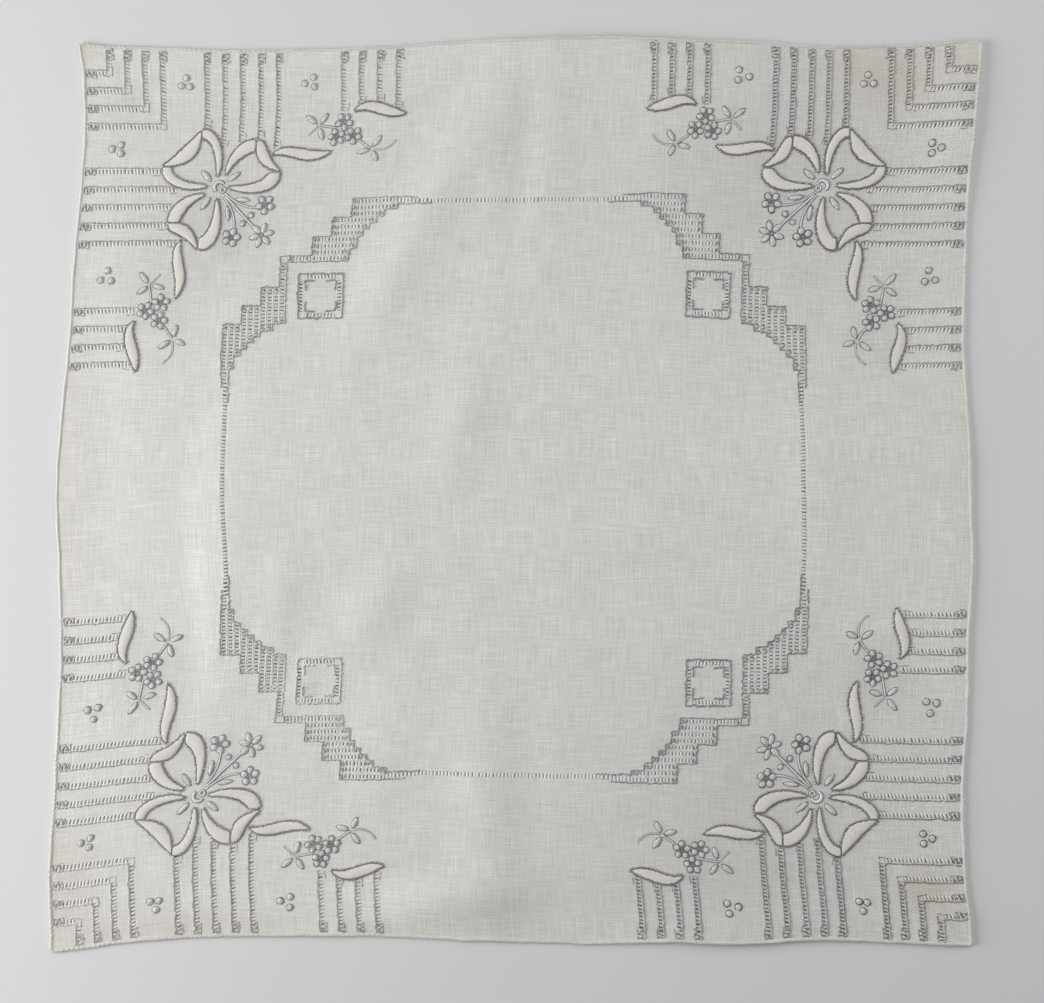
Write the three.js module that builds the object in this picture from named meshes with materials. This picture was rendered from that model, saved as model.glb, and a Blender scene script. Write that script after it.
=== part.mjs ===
// Linen handkerchief lying slack on a table: a square of fine linen with a narrow rolled hem, and the petals
// and leaves of a creamier linen that are sewn on at its four corners.
// Millimetres, +Z up, +Y to the far edge. The origin is on the table under the middle of the cloth.
import * as THREE from "three";
import { mergeVertices } from "three/addons/utils/BufferGeometryUtils.js";

// The cut
const cutSide = 305;
const clothThick = 1;
const cornerRound = 1.3;
const fieldCells = 39;
const half = cutSide / 2;

// The rolled hem, by distance in from the edge: how far its underside and its top stand over the underside of
// the cloth
const hem = [
  { inset: 0, under: 0.35, over: 1.0 },
  { inset: 0.5, under: 0, over: 1.5 },
  { inset: 1.3, under: 0, over: 1.5 },
  { inset: 1.9, under: 0, over: clothThick },
];

// Where the corners of the cut lie on the table
const corners = {
  nw: { x: -148.66, y: 150.77 },
  ne: { x: 156.04, y: 152.07 },
  se: { x: 149.34, y: -151.23 },
  sw: { x: -155.76, y: -153.53 },
};

// How far each edge strays from the straight line between its corners: top and bottom in Y, left and right
// in X. The rows are even steps from left to right, or from top to bottom.
const edgeDrift = [
  { top: 0, bottom: 0, left: 0, right: 0 },
  { top: -0.9, bottom: 3.0, left: 1.9, right: -1.6 },
  { top: -1.9, bottom: 4.6, left: 1.2, right: -4.1 },
  { top: -1.8, bottom: 4.7, left: -0.3, right: -4.6 },
  { top: -1.2, bottom: 4.7, left: -0.9, right: -5.0 },
  { top: 0.6, bottom: 3.5, left: -2.6, right: -3.1 },
  { top: 1.2, bottom: 2.4, left: -3.2, right: -2.0 },
  { top: 1.8, bottom: 1.5, left: -1.6, right: -1.1 },
  { top: 0.9, bottom: 1.9, left: -0.3, right: -2.1 },
  { top: 0.3, bottom: 1.3, left: -0.4, right: -2.3 },
  { top: -1.4, bottom: 2.3, left: -0.8, right: -3.5 },
  { top: -1.1, bottom: 1.0, left: -1.4, right: -2.4 },
  { top: 0, bottom: 0, left: 0, right: 0 },
];

// Places where the weave is pulled sideways in its own plane
const pulls = [
  { x: 118, y: 150, dx: -2.6, dy: 0, reach: 30 },
  { x: 58, y: 150, dx: -1.8, dy: 0, reach: 32 },
  { x: 88, y: 98, dx: -0.9, dy: 0, reach: 34 },
  { x: -60, y: 98, dx: -1.8, dy: 0.2, reach: 55 },
  { x: 143, y: 98, dx: 0, dy: -1.7, reach: 30 },
  { x: 143, y: 48, dx: 0, dy: -1.2, reach: 30 },
  { x: -143, y: 98, dx: 0, dy: -0.8, reach: 30 },
  { x: -143, y: -75, dx: 0, dy: -0.6, reach: 40 },
  { x: 143, y: -55, dx: 0, dy: 0.5, reach: 30 },
  { x: -52, y: 143, dx: -1.2, dy: 0, reach: 22 },
  { x: 52, y: 143, dx: 0.4, dy: 0, reach: 22 },
  { x: 52, y: -143, dx: 0.9, dy: 0, reach: 24 },
  { x: -52, y: -143, dx: -0.6, dy: 0, reach: 24 },
  { x: 98, y: -143, dx: 0.6, dy: 0, reach: 24 },
  { x: -98, y: 143, dx: 0.4, dy: 0, reach: 24 },
  { x: -152, y: 152, dx: -0.9, dy: 0.9, reach: 5 },
  { x: -88, y: -55, dx: 1.5, dy: 0, reach: 34 },
  { x: 88, y: 62, dx: -1.0, dy: -1.1, reach: 36 },
  { x: 97, y: -52, dx: -1.2, dy: 0.4, reach: 34 },
  { x: 152, y: 152, dx: 0.6, dy: 0, reach: 12 },
];

// How far the right edge is let out, and how far in from it that is felt
const letOut = { out: 0.7, reach: 6 };

// Soft ridges where the cloth stands off the table. Turn is the way that the ridge runs, in degrees from +X.
const folds = [
  { x: 0, y: 114, turn: 89, reach: 52, width: 11, rise: 1.5 },
  { x: -32, y: 90, turn: 63, reach: 48, width: 7, rise: 1.9 },
  { x: -17, y: 24, turn: 80, reach: 22, width: 6, rise: 1.2 },
  { x: -98, y: -30, turn: 91, reach: 44, width: 6, rise: 1.2 },
  { x: -48, y: -42, turn: 58, reach: 18, width: 6, rise: 1.1 },
  { x: -80, y: -38, turn: 82, reach: 20, width: 6, rise: 0.9 },
  { x: -43, y: -88, turn: 85, reach: 30, width: 7, rise: 0.9 },
  { x: 101, y: 0, turn: 90, reach: 38, width: 6.5, rise: 0.6 },
  { x: -22, y: -138, turn: 8, reach: 26, width: 5, rise: 1.7 },
  { x: -8, y: -110, turn: 93, reach: 42, width: 7.5, rise: 1.3 },
  { x: 30, y: -20, turn: 5, reach: 48, width: 6, rise: 0.8 },
  { x: 122, y: 13, turn: -8, reach: 34, width: 6, rise: 0.8 },
  { x: -149, y: 2, turn: 90, reach: 42, width: 7, rise: 0.9 },
  { x: 151, y: 132, turn: 92, reach: 30, width: 9, rise: 1.6 },
  { x: 150, y: -28, turn: 90, reach: 44, width: 8, rise: 0.4 },
  { x: 34, y: 152, turn: 0, reach: 36, width: 7, rise: 1.5 },
  { x: 76, y: -151, turn: 0, reach: 36, width: 7, rise: 1.6 },
  { x: 148, y: -148, turn: 45, reach: 14, width: 11, rise: 0.6 },
];
const settle = 0.12;

// Pieces sewn on at a corner. Points are distances in from the side edge and from the top or bottom edge.
// A piece is the strip between two edges, each a curve from start to end that bends towards lean and bow.
// A piece with twin true has a second copy across the corner's diagonal.
const pieces = [
  {
    name: "crown_tip",
    twin: false,
    outer: { start: [41.0, 28.8], lean: [37.6, 31.6], bow: [33.0, 37.6], end: [28.4, 40.9] },
    inner: { start: [41.0, 31.5], lean: [40.8, 37.5], bow: [37.6, 40.4], end: [31.2, 41.0] },
  },
  {
    name: "crown_side",
    twin: true,
    outer: { start: [41.5, 28.4], lean: [46.6, 27.2], bow: [50.8, 36.5], end: [48.3, 44.4] },
    inner: { start: [41.5, 31.5], lean: [44.9, 31.7], bow: [47.0, 37.5], end: [47.5, 44.4] },
  },
  {
    name: "wing_inner",
    twin: true,
    outer: { start: [60.3, 31.8], lean: [54.9, 31.1], bow: [50.4, 37.2], end: [50.5, 44.0] },
    inner: { start: [60.3, 35.9], lean: [57.0, 36.8], bow: [53.0, 39.6], end: [51.3, 44.0] },
  },
  {
    name: "wing_tip",
    twin: true,
    outer: { start: [60.9, 31.9], lean: [65.0, 32.0], bow: [63.9, 38.4], end: [69.9, 42.5] },
    inner: { start: [60.9, 36.0], lean: [61.0, 39.9], bow: [64.5, 41.7], end: [68.8, 43.0] },
  },
  {
    name: "wing_outer",
    twin: true,
    outer: { start: [70.0, 43.6], lean: [70.6, 50.4], bow: [61.0, 52.0], end: [52.2, 48.7] },
    inner: { start: [66.0, 43.6], lean: [63.5, 47.3], bow: [58.0, 47.9], end: [52.4, 48.0] },
  },
  {
    name: "near_leaf",
    twin: true,
    outer: { start: [66.6, 36.9], lean: [71.5, 31.9], bow: [78.5, 37.2], end: [86.9, 36.1] },
    inner: { start: [66.8, 37.3], lean: [73.5, 36.3], bow: [79.5, 43.0], end: [87.1, 36.4] },
  },
  {
    name: "far_leaf",
    twin: true,
    outer: { start: [94.6, 22.3], lean: [98.6, 16.9], bow: [104.8, 20.0], end: [111.9, 24.0] },
    inner: { start: [94.8, 22.7], lean: [100.5, 20.4], bow: [104.6, 26.9], end: [112.1, 24.3] },
  },
];
const pieceSteps = 10;
const pieceGap = 0.35;
const pieceEdge = 0.7;
const pieceCrown = 1.1;

const linen = { color: "#d3d1cb", roughness: 0.92, metalness: 0 };
const creamLinen = { color: "#ddd9ce", roughness: 0.88, metalness: 0 };

const mix = THREE.MathUtils.lerp;
const radians = THREE.MathUtils.degToRad;

// One column of the edge table as a smooth curve over the share of the way along
function driftCurve(column) {
  const curve = new THREE.SplineCurve(edgeDrift.map((row, step) => new THREE.Vector2(step, row[column])));
  return (share) => curve.getPoint(share).y;
}
const drift = {
  top: driftCurve("top"),
  bottom: driftCurve("bottom"),
  left: driftCurve("left"),
  right: driftCurve("right"),
};

// A corner's square end drawn in to a round of the given radius
function roundCorner(x, y) {
  const inner = half - cornerRound;
  const outX = Math.max(Math.abs(x) - inner, 0) / cornerRound;
  const outY = Math.max(Math.abs(y) - inner, 0) / cornerRound;
  if (outX === 0 || outY === 0) {
    return { x, y };
  }
  return {
    x: Math.sign(x) * (inner + cornerRound * outX * Math.sqrt(1 - outY * outY / 2)),
    y: Math.sign(y) * (inner + cornerRound * outY * Math.sqrt(1 - outX * outX / 2)),
  };
}

// From the flat cut to the table: the four corners blended both ways, each edge's drift faded across to the
// edge opposite, the right edge let out, then the pulls
function lay(flatX, flatY) {
  const flat = roundCorner(flatX, flatY);
  const u = flat.x / cutSide + 0.5;
  const v = 0.5 - flat.y / cutSide;
  const across = (left, right, axis) => mix(corners[left][axis], corners[right][axis], u);
  const blend = (axis) => mix(across("nw", "ne", axis), across("sw", "se", axis), v);
  const spot = {
    x: blend("x") + mix(drift.left(v), drift.right(v), u),
    y: blend("y") + mix(drift.top(u), drift.bottom(u), v),
  };
  spot.x += letOut.out * Math.exp(-(((half - flat.x) / letOut.reach) ** 2));
  for (const pull of pulls) {
    const share = Math.exp(-((flat.x - pull.x) ** 2 + (flat.y - pull.y) ** 2) / pull.reach ** 2);
    spot.x += pull.dx * share;
    spot.y += pull.dy * share;
  }
  return spot;
}

// Height of the underside over the table: the ridges summed, and flat on the table where the sum is slight
function lift(x, y) {
  const sum = folds.reduce((total, fold) => {
    const turn = radians(fold.turn);
    const along = (x - fold.x) * Math.cos(turn) + (y - fold.y) * Math.sin(turn);
    const across = (y - fold.y) * Math.cos(turn) - (x - fold.x) * Math.sin(turn);
    return total + fold.rise * Math.exp(-((along / fold.reach) ** 2) - across ** 2 / (2 * fold.width ** 2));
  }, 0);
  return Math.max(0, sum - settle);
}

// The hem table read between its rows
function hemAt(inset, column) {
  const next = hem.findIndex((row) => row.inset > inset);
  if (next < 0) {
    return hem[hem.length - 1][column];
  }
  const low = hem[next - 1];
  const high = hem[next];
  return mix(low[column], high[column], (inset - low.inset) / (high.inset - low.inset));
}

// Grid lines across the cut: the hem's own lines at both edges and even cells between them
function gridLines() {
  const hemWidth = hem[hem.length - 1].inset;
  const cell = (cutSide - 2 * hemWidth) / fieldCells;
  const nearEdge = hem.map((row) => row.inset - half);
  const field = Array.from({ length: fieldCells - 1 }, (_, step) => hemWidth - half + (step + 1) * cell);
  const farEdge = hem.map((row) => half - row.inset).reverse();
  return [...nearEdge, ...field, ...farEdge];
}

// A gridded unit box with every corner point moved to where place puts its three shares from 0 to 1
function bendBox(alongCells, acrossCells, place) {
  const box = new THREE.BoxGeometry(1, 1, 1, alongCells, acrossCells, 1);
  box.deleteAttribute("normal");
  box.deleteAttribute("uv");
  const points = box.getAttribute("position");
  for (let i = 0; i < points.count; i += 1) {
    const spot = place(points.getX(i) + 0.5, points.getY(i) + 0.5, points.getZ(i) + 0.5);
    points.setXYZ(i, spot.x, spot.y, spot.z);
  }
  const solid = mergeVertices(box, 1e-5);
  solid.computeVertexNormals();
  return solid;
}

function mesh(name, solid, look) {
  const made = new THREE.Mesh(solid, new THREE.MeshStandardMaterial(look));
  made.name = name;
  return made;
}

// The linen: a gridded sheet laid by the tables above, with its hem rolled round the edge
function linenGround() {
  const lines = gridLines();
  const cells = lines.length - 1;
  const solid = bendBox(cells, cells, (u, v, top) => {
    const x = lines[Math.round(u * cells)];
    const y = lines[Math.round(v * cells)];
    const inset = half - Math.max(Math.abs(x), Math.abs(y));
    const spot = lay(x, y);
    return { x: spot.x, y: spot.y, z: lift(x, y) + hemAt(inset, top > 0.5 ? "over" : "under") };
  });
  return mesh("linen_ground", solid, linen);
}

// A point at a corner of the cut, given by its distances in from the two edges
function cornerPoint(corner, [fromSide, fromEnd]) {
  const signX = corner.endsWith("w") ? -1 : 1;
  const signY = corner.startsWith("n") ? 1 : -1;
  return new THREE.Vector2(signX * (half - fromSide), signY * (half - fromEnd));
}

// The two edges of a sewn-on piece at a corner, in the order that makes a strip from the first to the second
// face up
function pieceEdges(corner, row, mirrored) {
  const at = (point) => cornerPoint(corner, mirrored ? [point[1], point[0]] : point);
  const curve = (edge) => {
    return new THREE.CubicBezierCurve(at(edge.start), at(edge.lean), at(edge.bow), at(edge.end));
  };
  const edges = [curve(row.outer), curve(row.inner)];
  const across = edges[1].getPoint(0.5).sub(edges[0].getPoint(0.5));
  return edges[0].getTangent(0.5).cross(across) > 0 ? edges : edges.reverse();
}

// A sewn-on piece: the strip between its edges, crowned along its middle, just clear of the linen under it
function sewnPiece(name, corner, row, mirrored) {
  const edges = pieceEdges(corner, row, mirrored);
  const solid = bendBox(pieceSteps, 2, (along, across, top) => {
    const flat = edges[0].getPoint(along).lerp(edges[1].getPoint(along), across);
    const thick = across === 0.5 ? pieceCrown : pieceEdge;
    const spot = lay(flat.x, flat.y);
    const under = lift(flat.x, flat.y) + clothThick + pieceGap;
    return { x: spot.x, y: spot.y, z: top > 0.5 ? under + thick : under };
  });
  return mesh(name, solid, creamLinen);
}

const handkerchief = new THREE.Group();
handkerchief.add(linenGround());
for (const corner of Object.keys(corners)) {
  for (const row of pieces) {
    if (row.twin) {
      handkerchief.add(sewnPiece(`${corner}_${row.name}_a`, corner, row, false));
      handkerchief.add(sewnPiece(`${corner}_${row.name}_b`, corner, row, true));
    } else {
      handkerchief.add(sewnPiece(`${corner}_${row.name}`, corner, row, false));
    }
  }
}

export default handkerchief;
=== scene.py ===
import bpy
import numpy as np
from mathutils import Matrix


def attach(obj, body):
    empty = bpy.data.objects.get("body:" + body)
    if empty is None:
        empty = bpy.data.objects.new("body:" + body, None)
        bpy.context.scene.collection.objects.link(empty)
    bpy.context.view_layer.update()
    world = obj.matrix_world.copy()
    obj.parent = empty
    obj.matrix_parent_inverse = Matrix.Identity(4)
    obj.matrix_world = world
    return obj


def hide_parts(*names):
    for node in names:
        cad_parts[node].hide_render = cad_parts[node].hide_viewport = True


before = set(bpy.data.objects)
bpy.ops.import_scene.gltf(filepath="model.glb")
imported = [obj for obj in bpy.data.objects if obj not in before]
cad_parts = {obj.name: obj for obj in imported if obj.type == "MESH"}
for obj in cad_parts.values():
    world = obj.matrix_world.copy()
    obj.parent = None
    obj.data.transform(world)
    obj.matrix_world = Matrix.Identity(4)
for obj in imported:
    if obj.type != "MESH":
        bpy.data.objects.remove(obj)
scene = bpy.context.scene
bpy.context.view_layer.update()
print("frame loaded,", len(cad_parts), "nodes")

# shapes are worked out on the flat cut in millimetres from its middle (x right, y to the far edge, h up
# from the cloth's underside), and are laid on the table as they go into their meshes
clothLie = {
    "cutSide": 305.0, "cornerRound": 1.3, "seed": 7,
    "corners": {
        "nw": (-148.66, 150.77), "ne": (156.04, 152.07), "se": (149.34, -151.23), "sw": (-155.76, -153.53)},
    # drift of each edge at even steps
    "top": (0, -0.9, -1.9, -1.8, -1.2, 0.6, 1.2, 1.8, 0.9, 0.3, -1.4, -1.1, 0),
    "bottom": (0, 3.0, 4.6, 4.7, 4.7, 3.5, 2.4, 1.5, 1.9, 1.3, 2.3, 1.0, 0),
    "left": (0, 1.9, 1.2, -0.3, -0.9, -2.6, -3.2, -1.6, -0.3, -0.4, -0.8, -1.4, 0),
    "right": (0, -1.6, -4.1, -4.6, -5.0, -3.1, -2.0, -1.1, -2.1, -2.3, -3.5, -2.4, 0),
    "pulls": (      # x, y, shift in x, shift in y, reach
        (118, 150, -2.6, 0, 30), (58, 150, -1.8, 0, 32), (88, 98, -0.9, 0, 34), (-60, 98, -1.8, 0.2, 55),
        (143, 98, 0, -1.7, 30), (143, 48, 0, -1.2, 30), (-143, 98, 0, -0.8, 30), (-143, -75, 0, -0.6, 40),
        (143, -55, 0, 0.5, 30), (-52, 143, -1.2, 0, 22), (52, 143, 0.4, 0, 22), (52, -143, 0.9, 0, 24),
        (-52, -143, -0.6, 0, 24), (98, -143, 0.6, 0, 24), (-98, 143, 0.4, 0, 24), (-152, 152, -0.9, 0.9, 5),
        (-88, -55, 1.5, 0, 34), (88, 62, -1.0, -1.1, 36), (97, -52, -1.2, 0.4, 34), (152, 152, 0.6, 0, 12)),
    "letOut": (0.7, 6.0),      # right edge let out, and how far in that is felt
    "folds": (      # x, y, way the ridge runs in degrees, reach, width, rise
        (0, 114, 89, 52, 11, 1.5), (-32, 90, 63, 48, 7, 1.9), (-17, 24, 80, 22, 6, 1.2),
        (-98, -30, 91, 44, 6, 1.2), (-48, -42, 58, 18, 6, 1.1), (-80, -38, 82, 20, 6, 0.9),
        (-43, -88, 85, 30, 7, 0.9), (101, 0, 90, 38, 6.5, 0.6), (-22, -138, 8, 26, 5, 1.7),
        (-8, -110, 93, 42, 7.5, 1.3), (30, -20, 5, 48, 6, 0.8), (122, 13, -8, 34, 6, 0.8),
        (-149, 2, 90, 42, 7, 0.9), (151, 132, 92, 30, 9, 1.6), (150, -28, 90, 44, 8, 0.4),
        (34, 152, 0, 36, 7, 1.5), (76, -151, 0, 36, 7, 1.6), (148, -148, 45, 14, 11, 0.6)),
    "creases": (      # sharper lines in the cloth, listed as the folds are
        (-0.5, 113, 89.5, 44, 3.6, -1.0), (-104, -28, 92, 36, 2.8, 0.40), (-25, 72, 62, 34, 3.2, 0.35),
        (-70, -62, 66, 22, 3.0, 0.30), (16, -96, 100, 30, 3.2, 0.30), (66, 38, -6, 40, 3.0, 0.22),
        (124, 8, -8, 26, 3.0, 0.24), (-52, -150, 12, 26, 3.0, 0.40)),
    "settle": 0.12,      # taken off the folds' height, so that their feet lie on the table
    "ripples": (      # way in degrees, wave length, height
        (12, 31, 0.030), (98, 19, 0.030), (57, 14, 0.022), (141, 11, 0.018), (5, 8.5, 0.010)),
    "rippleBend": 1.9,
}
half = clothLie["cutSide"] / 2
rng = np.random.default_rng(clothLie["seed"])


# a smooth curve through even steps: a cubic on each span, its slopes half the rise between neighbours
def splineAt(values, share):
    v = np.asarray(values, float)
    last = len(v) - 1
    at = np.clip(share, 0, 1) * last
    i = np.minimum(at.astype(int), last - 1)
    f = at - i
    a, b, c, d = v[np.maximum(i - 1, 0)], v[i], v[i + 1], v[np.minimum(i + 2, last)]
    m0, m1 = (c - a) / 2, (d - b) / 2
    return (2 * b - 2 * c + m0 + m1) * f**3 + (3 * c - 3 * b - 2 * m0 - m1) * f**2 + m0 * f + b


# flat cut to table: square corner ends drawn in to a round, the four corners blended both ways, each edge's
# drift faded across to the edge opposite, the right edge let out, and each pull a bell-shaped shift
def lay(x, y):
    r = clothLie["cornerRound"]
    ox = np.clip(np.abs(x) - half + r, 0, r) / r
    oy = np.clip(np.abs(y) - half + r, 0, r) / r
    atCorner = (ox > 0) & (oy > 0)
    fx = np.where(atCorner, np.sign(x) * (half - r + r * ox * np.sqrt(1 - oy**2 / 2)), x)
    fy = np.where(atCorner, np.sign(y) * (half - r + r * oy * np.sqrt(1 - ox**2 / 2)), y)
    u, v = fx / (2 * half) + 0.5, 0.5 - fy / (2 * half)
    nw, ne, se, sw = (np.array(clothLie["corners"][k]) for k in ("nw", "ne", "se", "sw"))
    px, py = (
        (nw[k] * (1 - u) + ne[k] * u) * (1 - v) + (sw[k] * (1 - u) + se[k] * u) * v for k in (0, 1))
    px = px + (1 - u) * splineAt(clothLie["left"], v) + u * splineAt(clothLie["right"], v)
    py = py + (1 - v) * splineAt(clothLie["top"], u) + v * splineAt(clothLie["bottom"], u)
    out, felt = clothLie["letOut"]
    px = px + out * np.exp(-(((half - fx) / felt) ** 2))
    for cx, cy, dx, dy, reach in clothLie["pulls"]:
        bell = np.exp(-((fx - cx) ** 2 + (fy - cy) ** 2) / reach**2)
        px, py = px + dx * bell, py + dy * bell
    return px, py


# height of the underside: bell-shaped ridges summed, less a little, and never under the table; slack
# ripples on top of that are crossed sines, the phase of each bent by the one before it
def lift(x, y):
    total = np.full(np.shape(x), -clothLie["settle"])
    for cx, cy, turn, reach, width, rise in clothLie["folds"] + clothLie["creases"]:
        c, s = np.cos(np.radians(turn)), np.sin(np.radians(turn))
        along, across = (x - cx) * c + (y - cy) * s, (y - cy) * c - (x - cx) * s
        total = total + rise * np.exp(-((along / reach) ** 2) - across**2 / (2 * width**2))
    total = np.maximum(total, 0)
    phase = 0.0
    for turn, wave, high in clothLie["ripples"]:
        c, s = np.cos(np.radians(turn)), np.sin(np.radians(turn))
        ripple = np.sin(2 * np.pi * (x * c + y * s) / wave + phase)
        total = total + high * ripple
        phase = clothLie["rippleBend"] * ripple
    return total


# flat points with their heights, laid on the table and turned to metres
def onCloth(p):
    px, py = lay(p[..., 0], p[..., 1])
    return np.stack([px, py, lift(p[..., 0], p[..., 1]) + p[..., 2]], -1) * 0.001


# a design drawn once by its distances in from the side edge and the end edge, copied to the four corners,
# each with its twin across the corner's diagonal
def allCorners(p, twin=True):
    p = np.asarray(p, float)
    both = np.concatenate([p, acrossDiagonal(p)]) if twin else p
    spots = []
    for signX, signY in ((-1, 1), (1, 1), (1, -1), (-1, -1)):
        spot = both.copy()
        spot[..., 0], spot[..., 1] = signX * (half - both[..., 0]), signY * (half - both[..., 1])
        spots.append(spot)
    return np.concatenate(spots)


# the same design with its two distances changed over
def acrossDiagonal(p):
    return np.asarray(p, float)[..., [1, 0, *range(2, np.shape(p)[-1])]]


# quads of a grid of rows by columns, either closed into a ring where asked, for many like grids
def gridFaces(rows, cols, ring=False, count=1, loop=False):
    ways = np.arange(rows if loop else rows - 1), np.arange(cols if ring else cols - 1)
    i, k = (index.ravel() for index in np.meshgrid(*ways, indexing="ij"))
    j, n = (i + 1) % rows, (k + 1) % cols
    quads = np.stack([i * cols + k, j * cols + k, j * cols + n, i * cols + n], -1)
    return (quads[None] + np.arange(count)[:, None, None] * rows * cols).reshape(-1, 4)


# bells added up, each with its own place, reach both ways and strength
def bells(flat, rows):
    total = np.zeros(len(flat))
    for cx, cy, rx, ry, strength in rows:
        total += strength * np.exp(-(((flat[:, 0] - cx) / rx) ** 2) - ((flat[:, 1] - cy) / ry) ** 2)
    return total


# a value at each point of a piece's mesh, for its finish to read
def mark(piece, name, values):
    piece.data.attributes.new(name, "FLOAT", "POINT").data.foreach_set("value", values.astype(np.float32))


# flat points and faces made a mesh piece laid on the cloth, marked with how much paler or darker its grey
# thread is drawn, partly by fading and partly as painted light
def putPiece(name, points, faceSets, material, uv=None, slot="linen"):
    flat = np.asarray(points, float).reshape(-1, 3)
    points = onCloth(flat)
    loops = np.concatenate([f.ravel() for f in faceSets]).astype(np.int32)
    sizes = np.concatenate([np.full(len(f), f.shape[1]) for f in faceSets]).astype(np.int32)
    mesh = bpy.data.meshes.new(name)
    mesh.vertices.add(len(points))
    mesh.vertices.foreach_set("co", points.ravel().astype(np.float32))
    mesh.loops.add(len(loops))
    mesh.loops.foreach_set("vertex_index", loops)
    mesh.polygons.add(len(sizes))
    mesh.polygons.foreach_set("loop_start", (np.cumsum(sizes) - sizes).astype(np.int32))
    mesh.update(calc_edges=True)
    mesh.polygons.foreach_set("use_smooth", np.ones(len(sizes), bool))
    if uv is not None:
        mesh.uv_layers.new(name="flat").uv.foreach_set(
            "vector", np.asarray(uv, float).reshape(-1, 2)[loops].ravel().astype(np.float32))
    mesh.materials.append(material)
    piece = bpy.data.objects.new(name, mesh)
    scene.collection.objects.link(piece)
    # the mark of fading and painted light: grey thread paler on the lit left, darker on the right
    mark(piece, "faded", bells(flat, finishes["faded"]))
    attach(piece, "root")
    return piece


# many like profiles, each carried along its own path: sideways part along the level normal of the path,
# upward part straight up, both ends closed
def sweep(paths, profileSide, profileUp):
    ahead = np.gradient(paths, axis=1)
    side = np.stack([ahead[..., 1], -ahead[..., 0]], -1)
    side /= np.maximum(np.linalg.norm(side, axis=-1, keepdims=True), 1e-9)
    n, m = paths.shape[:2]
    shape = np.broadcast_shapes((n, m, 1), np.shape(profileSide))
    points = np.repeat(paths[:, :, None, :], shape[2], 2)
    points[..., :2] += side[:, :, None, :] * np.broadcast_to(profileSide, shape)[..., None]
    points[..., 2] += np.broadcast_to(profileUp, shape)
    return points, tubeFaces(n, m, shape[2])


# walls of many like tubes of m rings, and a face across both ends of each
def tubeFaces(n, m, k):
    ends = np.arange(n)[:, None] * m * k
    return [gridFaces(m, k, True, n), ends + np.arange(k), ends + (m - 1) * k + np.arange(k)[::-1]]


# round or flattened threads: a ring of half width and half height, given at each point of the path
def threads(paths, wide, high=None, sides=4):
    turn = 2 * np.pi * (np.arange(sides) + 0.5) / sides
    wide = np.broadcast_to(wide, paths.shape[:2])[..., None]
    high = wide if high is None else np.broadcast_to(high, paths.shape[:2])[..., None]
    return sweep(paths, wide * np.cos(turn), high * np.sin(turn))


# stitches from one row of points to another, each bowed up by half a sine
def stitches(start, end, base, rise, steps=4):
    f = np.linspace(0, 1, steps)
    flat = start[:, None] + (end - start)[:, None] * f[:, None]
    h = np.broadcast_to(base + rise * np.sin(np.pi * f), flat.shape[:2])
    return np.concatenate([flat, h[..., None]], -1)


# a run of stitches of about one step along each straight line
def seam(lines, step, base, rise):
    starts, ends = [], []
    for line in np.asarray(lines, float):
        count = max(1, int(round(np.hypot(*(line[2:] - line[:2])) / step)))
        dots = line[:2] + (line[2:] - line[:2]) * np.linspace(0, 1, count + 1)[:, None]
        starts.append(dots[:-1])
        ends.append(dots[1:])
    return stitches(np.concatenate(starts), np.concatenate(ends), base, rise)


# a curve from start to end by way of two pulls: the points weighted by powers of the share run and left
def bend(points, steps):
    a, b, c, d = (np.asarray(p, float) for p in points)
    f = np.linspace(0, 1, steps)[:, None]
    return a * (1 - f) ** 3 + 3 * b * f * (1 - f) ** 2 + 3 * c * f**2 * (1 - f) + d * f**3


# even turns round a ring
def turns(count):
    return 2 * np.pi * np.arange(count) / count


# points on a ring of radius one, by the cosine and sine of their turns
def ringPoints(turn):
    return np.stack([np.cos(turn), np.sin(turn)], -1)


# how far along a path each of its points lies: the lengths between them, added up
def runLength(path):
    return np.concatenate([[0], np.cumsum(np.hypot(*np.diff(path, axis=0).T))])


# flat points with one height for all
def atHeight(flat, high):
    return np.concatenate([flat, np.full((*flat.shape[:-1], 1), high)], -1)


# several meshes' points and faces run together
def joinUp(*parts):
    points, faceSets, start = [], [], 0
    for p, sets in parts:
        flat = np.asarray(p).reshape(-1, 3)
        points.append(flat)
        faceSets += [f + start for f in sets]
        start += len(flat)
    return np.concatenate(points), faceSets


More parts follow.
